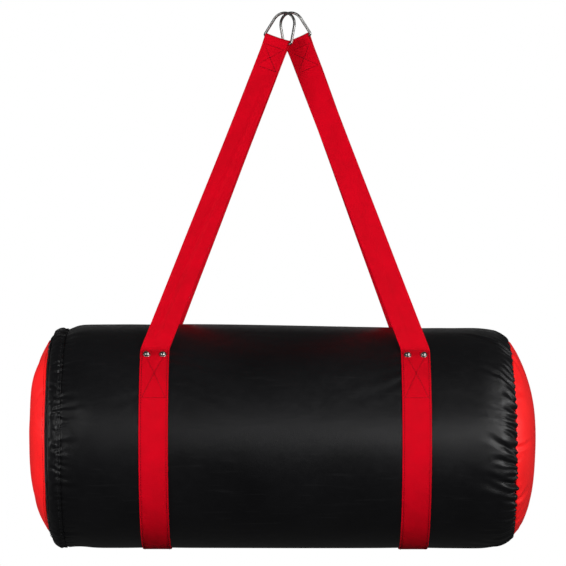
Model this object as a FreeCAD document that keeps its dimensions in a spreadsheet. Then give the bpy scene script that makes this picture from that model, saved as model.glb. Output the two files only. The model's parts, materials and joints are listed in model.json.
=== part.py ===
import FreeCAD, Part
import math
import os
import Sketcher
from FreeCAD import Matrix, Placement, Rotation, Vector

# A heavy punching bag that hangs level from two webbing straps and two D-rings, in millimetres.
# Frame: origin where the hook bears under both ring bows, +Z up, +X along the bag, -Y the front.
# The bag's own frame has its Z along the world's X, and its X pointing down.

SIZES = [
    ("bag_length", 895, "over both crowned ends"),
    ("bag_radius", 196, "outside of the skin"),
    ("bag_drop", 745, "hang point down to the bag's axis"),
    ("bag_shift", -9, "middle of the bag, in X"),
    ("crown", 74, "depth of each rounded end"),
    ("vinyl", 1.6, "thickness of the skin"),
    ("slack", 0.3, "gap between layers that only lie on each other"),
    ("liner_outside", 189, "outer radius of the foam liner"),
    ("liner_gauge", 12, "thickness of the foam liner"),
    ("zip_from", 38, "left end panel's edge, from the left end"),
    ("zip_to", 47.6, "black skin's edge beside the zip, from the left end"),
    ("facing_to", 66, "sewn edge of the zip's facing, from the left end"),
    ("tape_from", 30, "zip tape's edge under the end panel"),
    ("tape_split", 43, "middle of the zip, from the left end"),
    ("tape_to", 55, "zip tape's edge under the black skin"),
    ("tape_gauge", 0.8, "thickness of the zip tape"),
    ("coil_radius", 1.3, "radius of one zip coil"),
    ("right_seam", 45.5, "right end panel's seam, from the right end"),
    ("strap_width", 50, "webbing width"),
    ("webbing", 2.6, "webbing thickness"),
    ("strap_left", -229.5, "middle of the left girth strap, in X"),
    ("strap_right", 221, "middle of the right girth strap, in X"),
    ("hanger_height", 52, "angle above level where a hanger leaves the bag"),
    ("rivet_height", 47.8, "angle above level of the rivets"),
    ("rivet_spread", 27.5, "between the two rivets of a pair"),
    ("rivet_cap", 6.6, "radius of a rivet's cap"),
    ("rivet_dome", 3, "height of a rivet's cap"),
    ("rivet_post", 2, "radius of a rivet's post"),
    ("rivet_base", 5.5, "radius of the inner half of a rivet"),
    ("patch_height", 34, "angle above level of a backing patch's middle"),
    ("patch_span", 34, "angle that a backing patch spans"),
    ("patch_width", 56, "width of a backing patch"),
    ("patch_gauge", 2, "thickness of a backing patch"),
    ("seam_strip", 24, "width of the lengthwise seam strip"),
    ("ring_wire", 4.8, "diameter of the ring wire"),
    ("ring_bar", 25.4, "half the straight bar of a D-ring"),
    ("ring_corner", 3.2, "bend radius beside the bar"),
    ("ring_bow", 22.5, "bend radius of the bow"),
    ("ring_centre", 28, "bar to the centre of the bow"),
    ("ring_shift", 17.7, "middle of a ring's bar, sideways from the hang point"),
    ("ring_front", 3.2, "middle of a ring's bar, in front of or behind the hang point"),
    ("ring_drop", 44, "middle of a ring's bar, below the hang point"),
    ("hang_tilt", 21, "lean of each hanger in the front view"),
    ("hang_twist", 30, "turn of each ring about its hanger"),
    ("loop_gap", 0.15, "running clearance between a bar and its webbing loop"),
    ("head_length", 57, "sewn double webbing below the bar"),
    ("head_neck", 14, "bar to where the two layers meet"),
    ("slider_length", 13, "zip slider, along the zip"),
    ("slider_width", 9.4, "zip slider, across the zip"),
    ("slider_plate", 1, "thickness of the slider's plate"),
    ("slider_height", 3.8, "slider's flanges and plate together"),
    ("bridge_height", 3.6, "height of the slider's bridge"),
    ("pull_length", 30, "length of the zip pull"),
    ("pull_width", 7, "width of the zip pull"),
    ("pull_gauge", 1.2, "thickness of the zip pull"),
    ("zip_start", 0, "angle above level of the slider, at the back"),
]

doc = FreeCAD.newDocument("punching_bag")
sheet = doc.addObject("Spreadsheet::Sheet", "dims")
for row, (alias, value, meaning) in enumerate(SIZES, start=1):
    sheet.set(f"A{row}", alias)
    sheet.set(f"B{row}", str(value))
    sheet.set(f"C{row}", meaning)
    sheet.setAlias(f"B{row}", alias)
doc.recompute()

ALONG_X = Rotation(Vector(0, 1, 0), 90)
SIDES = {"left": 1, "right": -1}
FACES = {"front": -1, "back": 1}
subparts = []


def mm(alias):
    return float(sheet.get(alias))


def bag_place(angle=0.0):
    """The bag's own frame in the world, turned about the bag's axis."""
    middle = Vector(mm("bag_shift"), 0, -mm("bag_drop"))
    return Placement(middle, ALONG_X.multiply(Rotation(Vector(0, 0, 1), angle)))


def bind(feature, **formulas):
    for prop, formula in formulas.items():
        feature.setExpression(prop, formula)
    return feature


def finished(feature, label, placement=None):
    feature.Label = label
    if placement is not None:
        feature.Placement = placement
    subparts.append(feature)
    return feature


def made(kind, name, **links):
    feature = doc.addObject(kind, name)
    for prop, value in links.items():
        setattr(feature, prop, value)
    return feature


def cylinder(name, radius, length, bottom="0", angle="360"):
    shape = doc.addObject("Part::Cylinder", name)
    bind(shape, Radius=radius, Height=length, Angle=angle)
    shape.setExpression("Placement.Base.z", bottom)
    return shape


def cut(name, base, tool):
    return made("Part::Cut", name, Base=base, Tool=tool)


def fuse(name, shapes):
    return made("Part::MultiFuse", name, Shapes=shapes)


def crown(name, offset, end):
    """The half ellipsoid that closes one end of the bag, offset from the skin's outside."""
    shape = doc.addObject("Part::Ellipsoid", name)
    radius = f"dims.bag_radius + {offset}"
    bind(shape, Radius1=f"dims.crown + {offset}", Radius2=radius, Radius3=radius)
    shape.Angle1 = -90 if end < 0 else 0
    shape.Angle2 = 0 if end < 0 else 90
    shape.setExpression("Placement.Base.z", f"{end} * (dims.bag_length / 2 - dims.crown)")
    return shape


def crown_layer(name, end, outside, inside, first, last):
    """A layer of a rounded end, between two offsets from the skin and two distances from that end."""
    skin = cut(name + "_skin", crown(name + "_out", outside, end), crown(name + "_in", inside, end))
    length = f"{last} - ({first})"
    low = f"-dims.bag_length / 2 + {first}" if end < 0 else f"dims.bag_length / 2 - ({last})"
    slab = cylinder(name + "_slab", "dims.bag_radius * 2", length, low)
    return made("Part::MultiCommon", name, Shapes=[skin, slab])


def tube(name, outside, inside, length, bottom, angle="360"):
    outer = cylinder(name + "_out", outside, length, bottom, angle)
    inner = cylinder(name + "_in", inside, length, bottom, angle)
    return cut(name, outer, inner)


def plane_of(body, role):
    return next(f for f in body.Origin.OriginFeatures if f.Role == role)


def sketch_on(body, role, name):
    sketch = body.newObject("Sketcher::SketchObject", name)
    sketch.AttachmentSupport = (plane_of(body, role), [""])
    sketch.MapMode = "FlatFace"
    return sketch


def sized(sketch, kind, *args, formula):
    index = sketch.addConstraint(Sketcher.Constraint(kind, *args))
    sketch.setExpression(f"Constraints[{index}]", formula)


def rectangle(sketch, width, height, width_formula, height_formula, low=None):
    """A rectangle centred on the sketch's Y axis: centred on X too, or standing at the height low."""
    bottom = -height / 2 if low is None else low[0]
    points = [
        Vector(-width / 2, bottom, 0),
        Vector(width / 2, bottom, 0),
        Vector(width / 2, bottom + height, 0),
        Vector(-width / 2, bottom + height, 0),
    ]
    first = sketch.GeometryCount
    for start, end in zip(points, points[1:] + points[:1]):
        sketch.addGeometry(Part.LineSegment(start, end), False)
    for side in range(4):
        following = first + (side + 1) % 4
        sketch.addConstraint(Sketcher.Constraint("Coincident", first + side, 2, following, 1))
    for side, kind in ((1, "Vertical"), (2, "Horizontal"), (3, "Vertical")):
        sketch.addConstraint(Sketcher.Constraint(kind, first + side))
    sketch.addConstraint(Sketcher.Constraint("Symmetric", first, 1, first, 2, -2))
    sized(sketch, "DistanceX", first, 1, first, 2, width, formula=width_formula)
    sized(sketch, "DistanceY", first + 1, 1, first + 1, 2, height, formula=height_formula)
    if low is None:
        sketch.addConstraint(Sketcher.Constraint("Symmetric", first, 1, first + 2, 1, -1, 1))
    else:
        sized(sketch, "DistanceY", first, 1, low[0], formula=low[1])


def padded_body(name, role, draw, length_formula):
    """A body whose sketch, drawn by draw, is padded to both sides of one of its own planes."""
    body = doc.addObject("PartDesign::Body", name)
    sketch = sketch_on(body, role, name + "_outline")
    draw(sketch)
    pad = body.newObject("PartDesign::Pad", name + "_pad")
    pad.Profile = sketch
    pad.Midplane = True
    bind(pad, Length=length_formula)
    return body


def polar(radius, angle, height=0.0):
    """A point of the bag's frame at an angle above level: front if the angle is under 90, back if over."""
    turn = math.radians(angle)
    return Vector(-radius * math.sin(turn), -radius * math.cos(turn), height)


def hanger_axes(side):
    """Bar direction, hanger direction and front-facing normal of a ring, in the world."""
    tilt = math.radians(mm("hang_tilt"))
    twist = math.radians(mm("hang_twist"))
    up = Vector(math.sin(tilt), 0, math.cos(tilt))
    flat = Vector(math.cos(tilt), 0, -math.sin(tilt))
    bar = flat * math.cos(twist) + Vector(0, -1, 0) * math.sin(twist)
    if side < 0:
        half_turn = Rotation(Vector(0, 0, 1), 180)
        up = half_turn.multVec(up)
        bar = half_turn.multVec(bar)
    return bar, up, bar.cross(up)


def ring_place(side):
    bar, up, normal = hanger_axes(side)
    base = Vector(-side * mm("ring_shift"), -side * mm("ring_front"), -mm("ring_drop"))
    return Placement(frame_matrix(bar, up, normal, base))


def frame_matrix(x_axis, y_axis, z_axis, base):
    return Matrix(
        x_axis.x, y_axis.x, z_axis.x, base.x,
        x_axis.y, y_axis.y, z_axis.y, base.y,
        x_axis.z, y_axis.z, z_axis.z, base.z,
        0, 0, 0, 1,
    )


def body_panel():
    """The black skin: a tube and two shoulders, with holes for the rivets."""
    barrel = tube(
        "barrel",
        "dims.bag_radius",
        "dims.bag_radius - dims.vinyl",
        "dims.bag_length - 2 * dims.crown",
        "dims.crown - dims.bag_length / 2",
    )
    inside = "-dims.vinyl"
    left = crown_layer("left_shoulder", -1, "0", inside, "dims.zip_to", "dims.crown")
    right = crown_layer("right_shoulder", 1, "0", inside, "dims.right_seam + dims.slack", "dims.crown")
    skin = fuse("skin", [barrel, left, right])
    return finished(cut("body_panel", skin, rivet_drills("skin")), "body_panel", bag_place())


def end_panels():
    left = crown_layer("end_panel_left", -1, "0", "-dims.vinyl", "-1", "dims.zip_from")
    finished(left, "end_panel_left", bag_place())
    right = crown_layer("end_panel_right", 1, "0", "-dims.vinyl", "-1", "dims.right_seam")
    finished(right, "end_panel_right", bag_place())


def zip_tapes():
    outside = "-(dims.vinyl + dims.slack)"
    inside = "-(dims.vinyl + dims.slack + dims.tape_gauge)"
    spans = {
        "zip_tape_end_side": ("dims.tape_from", "dims.tape_split - dims.slack / 2"),
        "zip_tape_body_side": ("dims.tape_split + dims.slack / 2", "dims.tape_to"),
    }
    for name, (first, last) in spans.items():
        finished(crown_layer(name, -1, outside, inside, first, last), name, bag_place())


def zip_facing():
    gap = "dims.slack / 2"
    layer = crown_layer("zip_facing", -1, f"{gap} + dims.vinyl", gap, "dims.zip_to", "dims.facing_to")
    finished(layer, "zip_facing", bag_place())


def zip_track():
    """Radius and height of the zip's middle on its tape, and the outward normal there, in the bag's frame."""
    down = mm("vinyl") + mm("slack")
    depth = mm("crown") - down
    radius = mm("bag_radius") - down
    along = mm("crown") - mm("tape_split")
    at = radius * math.sqrt(1 - (along / depth) ** 2)
    normal = Vector(at / radius**2, 0, -along / depth**2)
    normal.normalize()
    height = mm("crown") - mm("bag_length") / 2 - along
    return Vector(at, 0, height), normal


def zip_coils():
    """The two rows of zip coil, as plain rings on the tapes."""
    at, normal = zip_track()
    across = Vector(-normal.z, 0, normal.x)
    for name, side in (("zip_coil_end_side", -1), ("zip_coil_body_side", 1)):
        centre = at + normal * (mm("coil_radius") + mm("slack") / 2)
        centre = centre + across * side * (mm("coil_radius") + mm("slack") / 3)
        coil = doc.addObject("Part::Torus", name)
        bind(coil, Radius2="dims.coil_radius")
        coil.Radius1 = centre.x
        place = bag_place()
        place.Base = place.Base + place.Rotation.multVec(Vector(0, 0, centre.z))
        finished(coil, name, place)


def zip_frame(angle):
    """Frame on the zip at an angle above level: X along the track, Y across it, Z outwards."""
    at, normal = zip_track()
    across = Vector(-normal.z, 0, normal.x)
    along = across.cross(normal)
    local = Placement(frame_matrix(along, across, normal, at))
    turn = Placement(Vector(), Rotation(Vector(0, 0, 1), angle))
    return bag_place().multiply(turn).multiply(local)


def zip_angle():
    """Turn about the bag's axis that brings the track's first point to the slider's place at the back."""
    return 90 + mm("zip_start")


def zip_slider():
    """A plate with two flanges astride the coils, and a bridge for the pull."""
    clear = mm("slack")
    body = doc.addObject("PartDesign::Body", "slider_shell")
    section = sketch_on(body, "YZ_Plane", "slider_section")
    height = mm("slider_height")
    rectangle(
        section,
        mm("slider_width"),
        height,
        "dims.slider_width",
        "dims.slider_height",
        (clear, "dims.slack"),
    )
    pad = body.newObject("PartDesign::Pad", "slider_pad")
    pad.Profile = section
    pad.Midplane = True
    bind(pad, Length="dims.slider_length")
    doc.recompute()
    channel = sketch_on(body, "YZ_Plane", "slider_channel")
    rectangle(
        channel,
        mm("coil_radius") * 4 + 2,
        height - mm("slider_plate") + 1,
        "dims.coil_radius * 4 + 2",
        "dims.slider_height - dims.slider_plate + 1",
        (clear - 1, "dims.slack - 1"),
    )
    pocket = body.newObject("PartDesign::Pocket", "slider_pocket")
    pocket.Profile = channel
    pocket.Midplane = True
    bind(pocket, Length="dims.slider_length + 2")
    bridge = bridge_shape()
    whole = fuse("slider_whole", [body, bridge])
    finished(whole, "zip_slider", zip_frame(zip_angle()))


def bridge_shape():
    """An arch over the slider's plate that the zip pull's eye hangs on."""
    top = mm("slack") + mm("slider_height")
    height = mm("bridge_height")
    length = mm("slider_length") - 4
    arch = doc.addObject("Part::Box", "bridge_block")
    bind(arch, Length="dims.slider_length - 4", Width="dims.pull_gauge * 2", Height="dims.bridge_height")
    arch.Placement.Base = Vector(-length / 2, -mm("pull_gauge"), top)
    eye = doc.addObject("Part::Box", "bridge_eye")
    bind(eye, Length="dims.slider_length - 8", Width="dims.pull_gauge * 4", Height="dims.bridge_height / 2")
    eye.Placement.Base = Vector(2 - length / 2, -mm("pull_gauge") * 2, top + height * 0.2)
    return cut("bridge", arch, eye)


def pull_pivot():
    """Middle of the zip pull's crossbar, above the zip's surface."""
    return mm("slack") + mm("slider_height") + mm("bridge_height") * 0.45


def zip_pull():
    """A flat tab with a window at its top, so that its crossbar lies in the slider's bridge."""
    length = mm("pull_length")
    gauge = mm("pull_gauge")
    tab = doc.addObject("Part::Box", "pull_tab")
    bind(tab, Length="dims.pull_length", Width="dims.pull_width", Height="dims.pull_gauge")
    tab.Placement.Base = Vector(-gauge / 2, -mm("pull_width") / 2, -gauge / 2)
    window = doc.addObject("Part::Box", "pull_window")
    bind(window, Length="dims.slider_length / 2 + 2", Width="dims.pull_gauge * 3", Height="dims.pull_gauge * 3")
    window.Placement.Base = Vector(gauge / 2, -gauge * 1.5, -gauge * 1.5)
    pull = cut("zip_pull", tab, window)
    lift = Placement(Vector(0, 0, pull_pivot()), Rotation(Vector(0, 0, 1), 180))
    finished(pull, "zip_pull", zip_frame(zip_angle()).multiply(lift))


def zip_stops():
    """The crimped stops at the two ends of the zip's travel."""
    stops = []
    for number, turn in enumerate((-6.5, 262)):
        block = doc.addObject("Part::Box", f"stop_{number}")
        bind(block, Length="4", Width="dims.coil_radius * 4 + 1", Height="1")
        block.Placement = Placement(Vector(), Rotation(Vector(0, 0, 1), turn)).multiply(stop_local())
        stops.append(block)
    pair = made("Part::Compound", "zip_stops", Links=stops)
    finished(pair, "zip_stops", bag_place(zip_angle()))


def stop_local():
    at, normal = zip_track()
    across = Vector(-normal.z, 0, normal.x)
    low = Vector(-2, -mm("coil_radius") * 2 - 0.5, mm("coil_radius") * 2 + mm("slack"))
    local = Placement(frame_matrix(across.cross(normal), across, normal, at))
    return local.multiply(Placement(low, Rotation()))


def foam_liner():
    layer = tube(
        "foam_liner",
        "dims.liner_outside",
        "dims.liner_outside - dims.liner_gauge",
        "dims.bag_length - 2 * dims.crown",
        "dims.crown - dims.bag_length / 2",
    )
    finished(layer, "foam_liner", bag_place())


def fill_core():
    """The packed filling: a round core inside the liner, crowned at both ends."""
    under = "-(dims.vinyl + dims.slack * 2 + dims.tape_gauge)"
    radius = "dims.liner_outside - dims.liner_gauge - dims.slack"
    middle = cylinder(
        "core_middle",
        radius,
        "dims.bag_length - 2 * dims.crown + 2 * dims.slack",
        "dims.crown - dims.bag_length / 2 - dims.slack",
    )
    ends = []
    for name, end in (("core_left", -1), ("core_right", 1)):
        slab_low = "-dims.bag_length / 2" if end < 0 else "dims.bag_length / 2 - dims.crown + dims.slack"
        slab = cylinder(name + "_slab", "dims.bag_radius * 2", "dims.crown - dims.slack", slab_low)
        ends.append(made("Part::MultiCommon", name, Shapes=[crown(name + "_crown", under, end), slab]))
    finished(fuse("fill_core", [middle, *ends]), "fill_core", bag_place())


def seam_strip():
    """The strip over the skin's lengthwise seam, at the back below the middle."""
    span = "dims.seam_strip / dims.bag_radius * 180 / pi"
    inside = "dims.bag_radius + dims.slack"
    length = "dims.strap_right - dims.strap_left - dims.strap_width - 8"
    bottom = "dims.strap_left - dims.bag_shift + dims.strap_width / 2 + 4"
    strip = tube("back_seam_strip", f"{inside} + dims.vinyl", inside, length, bottom, span)
    finished(strip, "back_seam_strip", bag_place(60))


def strap_middle(name):
    return mm("strap_" + name) - mm("bag_shift")


def rivet_points(name):
    """(angle above level, height along the bag) of the four rivets of a strap."""
    half = mm("rivet_spread") / 2
    for angle in (mm("rivet_height"), 180 - mm("rivet_height")):
        for offset in (-half, half):
            yield angle, strap_middle(name) + offset


def radial(angle, height):
    """Frame of the bag whose Z points outwards at an angle above level."""
    out = polar(1, angle)
    along = Vector(0, 0, 1)
    return Placement(frame_matrix(along, out.cross(along), out, Vector(0, 0, height)))


def rivet_drills(owner):
    drills = []
    for name in SIDES:
        for number, (angle, height) in enumerate(rivet_points(name)):
            drill = doc.addObject("Part::Cylinder", f"{owner}_drill_{name}_{number}")
            bind(drill, Radius="dims.rivet_post", Height="dims.bag_radius")
            drill.Placement = radial(angle, height).multiply(Placement(Vector(0, 0, 120), Rotation()))
            drills.append(drill)
    return made("Part::Compound", owner + "_drills", Links=drills)


def girth_straps():
    """The webbing round the underside, from the front hanger's foot to the back one's."""
    inside = "dims.bag_radius + dims.slack"
    for name in SIDES:
        bottom = f"dims.strap_{name} - dims.bag_shift - dims.strap_width / 2"
        band = tube(
            f"girth_band_{name}",
            f"{inside} + dims.webbing",
            inside,
            "dims.strap_width",
            bottom,
            "180 + 2 * dims.hanger_height",
        )
        turn = -(90 + mm("hanger_height"))
        band.Placement = Placement(Vector(), Rotation(Vector(0, 0, 1), turn))
        drilled = cut(f"girth_strap_{name}", band, rivet_drills(f"girth_{name}"))
        finished(drilled, f"girth_strap_{name}", bag_place())


def rivets():
    """Domed caps with their posts outside, and the flat halves inside, four to a strap."""
    strap_out = mm("bag_radius") + mm("slack") + mm("webbing")
    base_top = mm("bag_radius") - mm("vinyl") - mm("slack") - mm("patch_gauge") - mm("slack") / 2
    for name in SIDES:
        caps, bases = [], []
        for number, (angle, height) in enumerate(rivet_points(name)):
            place = radial(angle, height)
            caps.append(rivet_cap(f"{name}_{number}", place, strap_out, base_top))
            base = doc.addObject("Part::Cylinder", f"rivet_base_{name}_{number}")
            bind(base, Radius="dims.rivet_base", Height="1")
            base.Placement = place.multiply(Placement(Vector(0, 0, base_top - 1), Rotation()))
            bases.append(base)
        finished(made("Part::Compound", f"rivet_caps_{name}", Links=caps), f"rivet_caps_{name}", bag_place())
        finished(made("Part::Compound", f"rivet_bases_{name}", Links=bases), f"rivet_bases_{name}", bag_place())


def rivet_cap(tag, place, strap_out, base_top):
    """A shallow dome with a post that reaches the inner half."""
    dome = doc.addObject("Part::Ellipsoid", f"dome_{tag}")
    bind(dome, Radius1="dims.rivet_dome", Radius2="dims.rivet_cap", Radius3="dims.rivet_cap")
    dome.Angle1 = 0
    dome.Placement = Placement(Vector(0, 0, strap_out + 0.1), Rotation())
    post = doc.addObject("Part::Cylinder", f"post_{tag}")
    bind(post, Radius="dims.rivet_post - 0.05")
    post.Height = strap_out + 0.6 - base_top
    post.Placement = Placement(Vector(0, 0, base_top), Rotation())
    rivet = fuse(f"rivet_{tag}", [dome, post])
    rivet.Placement = place
    return rivet


def backing_patches():
    """Webbing patches inside the skin, under each stitched box."""
    outside = "dims.bag_radius - dims.vinyl - dims.slack"
    for name in SIDES:
        pair = []
        for face, middle in (("front", mm("patch_height")), ("back", 180 - mm("patch_height"))):
            patch = tube(
                f"patch_{name}_{face}",
                outside,
                f"{outside} - dims.patch_gauge",
                "dims.patch_width",
                f"dims.strap_{name} - dims.bag_shift - dims.patch_width / 2",
                "dims.patch_span",
            )
            turn = 270 - middle - mm("patch_span") / 2
            patch.Placement = Placement(Vector(), Rotation(Vector(0, 0, 1), turn))
            pair.append(patch)
        both = made("Part::Compound", f"patches_{name}", Links=pair)
        drilled = cut(f"backing_patches_{name}", both, rivet_drills(f"patch_{name}"))
        finished(drilled, f"backing_patches_{name}", bag_place())


def head_corners(side, face):
    """The four lower corners of one webbing layer of a strap head, in the world."""
    bar, up, normal = hanger_axes(side)
    base = ring_place(side).Base - up * mm("head_length")
    half = mm("strap_width") / 2
    outward = normal if normal.y * face > 0 else normal * -1
    return [
        base - bar * side * half,
        base + bar * side * half,
        base + bar * side * half + outward * mm("webbing"),
        base - bar * side * half + outward * mm("webbing"),
    ]


def foot_corners(name, face):
    """The four corners of a girth strap's end, in the world, in the same order."""
    angle = mm("hanger_height") if face < 0 else 180 - mm("hanger_height")
    inner = mm("bag_radius") + mm("slack")
    outer = inner + mm("webbing")
    middle = strap_middle(name)
    half = mm("strap_width") / 2
    corners = [(inner, -half), (inner, half), (outer, half), (outer, -half)]
    return [bag_place().multVec(polar(radius, angle, middle + offset)) for radius, offset in corners]


def hangers():
    """The four free runs of webbing, each a twisted flat strip from the bag to its ring's head."""
    for name, side in SIDES.items():
        for face_name, face in FACES.items():
            sections = []
            for place, corners in (("foot", foot_corners(name, face)), ("top", head_corners(side, face))):
                section = doc.addObject("Part::Feature", f"{place}_{name}_{face_name}")
                section.Shape = Part.makePolygon([*corners, corners[0]])
                sections.append(section)
            strip = made("Part::Loft", f"hanger_{name}_{face_name}", Sections=sections, Solid=True, Ruled=True)
            finished(strip, f"hanger_{name}_{face_name}")


def strap_heads():
    """The sewn double webbing that loops over each ring's bar."""

    def outline(sketch):
        half = mm("webbing")
        loop = mm("ring_wire") / 2 + mm("loop_gap") + mm("webbing")
        foot = -mm("head_length")
        neck = -mm("head_neck")
        points = [
            Vector(loop, 0, 0),
            Vector(half, neck, 0),
            Vector(half, foot, 0),
            Vector(-half, foot, 0),
            Vector(-half, neck, 0),
            Vector(-loop, 0, 0),
        ]
        for start, end in zip(points, points[1:]):
            sketch.addGeometry(Part.LineSegment(start, end), False)
        circle = Part.Circle(Vector(), Vector(0, 0, 1), loop)
        sketch.addGeometry(Part.ArcOfCircle(circle, 0, math.pi), False)
        bore = Part.Circle(Vector(), Vector(0, 0, 1), mm("ring_wire") / 2 + mm("loop_gap"))
        sketch.addGeometry(bore, False)
        for line in range(4):
            sketch.addConstraint(Sketcher.Constraint("Coincident", line, 2, line + 1, 1))
        for line in (1, 3):
            sketch.addConstraint(Sketcher.Constraint("Vertical", line))
        sketch.addConstraint(Sketcher.Constraint("Coincident", 5, 1, 0, 1))
        sketch.addConstraint(Sketcher.Constraint("Coincident", 5, 2, 4, 2))
        sketch.addConstraint(Sketcher.Constraint("Coincident", 5, 3, -1, 1))
        sketch.addConstraint(Sketcher.Constraint("Coincident", 6, 3, -1, 1))
        sketch.addConstraint(Sketcher.Constraint("PointOnObject", 5, 1, -1))
        sketch.addConstraint(Sketcher.Constraint("PointOnObject", 5, 2, -1))
        sketch.addConstraint(Sketcher.Constraint("Symmetric", 2, 1, 2, 2, -2))
        sketch.addConstraint(Sketcher.Constraint("Horizontal", 0, 2, 3, 2))
        sized(sketch, "Radius", 6, mm("ring_wire") / 2, formula="dims.ring_wire / 2 + dims.loop_gap")
        wide = "dims.ring_wire / 2 + dims.loop_gap + dims.webbing"
        sized(sketch, "Radius", 5, loop, formula=wide)
        sized(sketch, "DistanceX", 2, 2, 2, 1, 2 * half, formula="dims.webbing * 2")
        sized(sketch, "DistanceY", 2, 1, -1, 1, -foot, formula="dims.head_length")
        sized(sketch, "DistanceY", 1, 1, -1, 1, -neck, formula="dims.head_neck")

    for name, side in SIDES.items():
        head = padded_body(f"strap_head_{name}", "XY_Plane", outline, "dims.strap_width")
        across = Placement(Vector(), Rotation(Vector(0, 1, 0), 90))
        finished(head, f"strap_head_{name}", ring_place(side).multiply(across))


def d_rings():
    """Round wire bent to a D: a straight bar, two leaning sides and a round bow."""
    bar, corner = mm("ring_bar"), mm("ring_corner")
    bow, centre = mm("ring_bow"), mm("ring_centre")
    reach = math.hypot(bar, centre - corner)
    lean = math.atan2(corner - centre, bar) + math.acos((bow - corner) / reach)
    up = Vector(0, 0, 1)

    def on(x, y, radius, angle):
        return Vector(x + radius * math.cos(angle), y + radius * math.sin(angle), 0)

    def spine(sketch):
        far = math.pi - lean
        sketch.addGeometry(Part.LineSegment(Vector(-bar, 0, 0), Vector(bar, 0, 0)), False)
        right = Part.Circle(Vector(bar, corner, 0), up, corner)
        sketch.addGeometry(Part.ArcOfCircle(right, -math.pi / 2, lean), False)
        sketch.addGeometry(Part.LineSegment(on(bar, corner, corner, lean), on(0, centre, bow, lean)), False)
        top = Part.Circle(Vector(0, centre, 0), up, bow)
        sketch.addGeometry(Part.ArcOfCircle(top, lean, far), False)
        sketch.addGeometry(Part.LineSegment(on(0, centre, bow, far), on(-bar, corner, corner, far)), False)
        left = Part.Circle(Vector(-bar, corner, 0), up, corner)
        sketch.addGeometry(Part.ArcOfCircle(left, far, 1.5 * math.pi), False)
        for piece in range(6):
            following = (piece + 1) % 6
            sketch.addConstraint(Sketcher.Constraint("Tangent", piece, 2, following, 1))
        sketch.addConstraint(Sketcher.Constraint("PointOnObject", 0, 1, -1))
        sketch.addConstraint(Sketcher.Constraint("Equal", 1, 5))
        sketch.addConstraint(Sketcher.Constraint("Symmetric", 0, 1, 0, 2, -2))
        sketch.addConstraint(Sketcher.Constraint("PointOnObject", 3, 3, -2))
        sized(sketch, "DistanceX", 0, 2, bar, formula="dims.ring_bar")
        sized(sketch, "Radius", 1, corner, formula="dims.ring_corner")
        sized(sketch, "Radius", 3, bow, formula="dims.ring_bow")
        sized(sketch, "DistanceY", 3, 3, centre, formula="dims.ring_centre")

    for name, side in SIDES.items():
        body = doc.addObject("PartDesign::Body", f"d_ring_{name}")
        path = sketch_on(body, "XY_Plane", f"ring_path_{name}")
        spine(path)
        section = sketch_on(body, "YZ_Plane", f"ring_section_{name}")
        section.addGeometry(Part.Circle(Vector(), up, mm("ring_wire") / 2), False)
        section.addConstraint(Sketcher.Constraint("Coincident", 0, 3, -1, 1))
        sized(section, "Diameter", 0, mm("ring_wire"), formula="dims.ring_wire")
        sweep = body.newObject("PartDesign::AdditivePipe", f"ring_sweep_{name}")
        sweep.Profile = (section, [""])
        sweep.Spine = (path, [""])
        finished(body, f"d_ring_{name}", ring_place(side))


def write_all():
    doc.recompute()
    failed = [o.Name for o in doc.Objects if "Invalid" in o.State or "Error" in o.State]
    if failed:
        raise RuntimeError(f"these objects failed: {failed}")
    for part in subparts:
        if part.Shape.isNull() or not part.Shape.isValid() or not part.Shape.Solids:
            raise RuntimeError(f"{part.Label} has no valid solid")
    os.makedirs("parts", exist_ok=True)
    for part in subparts:
        part.Shape.exportStep(f"parts/{part.Label}.step")
        print(part.Label, len(part.Shape.Solids), round(part.Shape.Volume))


body_panel()
end_panels()
zip_tapes()
zip_facing()
zip_coils()
zip_slider()
zip_pull()
zip_stops()
foam_liner()
fill_core()
seam_strip()
girth_straps()
rivets()
backing_patches()
hangers()
strap_heads()
d_rings()
write_all()
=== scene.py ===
import json
import math

import bmesh
import bpy
import numpy as np
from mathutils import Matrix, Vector


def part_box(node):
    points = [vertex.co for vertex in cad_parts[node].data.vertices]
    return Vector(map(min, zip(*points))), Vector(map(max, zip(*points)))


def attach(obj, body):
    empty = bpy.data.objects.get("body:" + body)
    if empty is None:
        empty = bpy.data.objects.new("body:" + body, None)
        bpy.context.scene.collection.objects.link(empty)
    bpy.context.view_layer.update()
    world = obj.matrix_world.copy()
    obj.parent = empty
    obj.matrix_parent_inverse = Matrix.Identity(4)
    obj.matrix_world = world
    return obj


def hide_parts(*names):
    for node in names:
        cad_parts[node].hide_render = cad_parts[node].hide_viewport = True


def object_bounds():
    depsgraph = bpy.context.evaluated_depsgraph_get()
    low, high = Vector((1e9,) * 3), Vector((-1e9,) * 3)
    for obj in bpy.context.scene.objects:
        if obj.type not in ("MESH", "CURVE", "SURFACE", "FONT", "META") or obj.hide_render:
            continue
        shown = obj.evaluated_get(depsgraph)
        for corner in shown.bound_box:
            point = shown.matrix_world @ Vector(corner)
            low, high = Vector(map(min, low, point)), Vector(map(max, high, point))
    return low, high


# A level-hung punching bag, in metres, in the CAD frame: +Z up, +X along the bag, -Y the front.
# Places round the bag are angles: 0 at the front, 90 on top, 180 at the back, 270 underneath.

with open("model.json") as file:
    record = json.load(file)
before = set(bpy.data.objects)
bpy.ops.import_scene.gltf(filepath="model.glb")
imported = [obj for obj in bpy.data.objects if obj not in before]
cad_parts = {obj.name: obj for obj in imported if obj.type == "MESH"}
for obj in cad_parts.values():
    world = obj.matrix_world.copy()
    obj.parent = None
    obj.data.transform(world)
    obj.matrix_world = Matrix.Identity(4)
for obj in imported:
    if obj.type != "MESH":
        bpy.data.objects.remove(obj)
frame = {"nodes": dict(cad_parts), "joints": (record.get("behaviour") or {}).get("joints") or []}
cad_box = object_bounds()
rng = np.random.default_rng(7)
MM = 0.001

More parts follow.
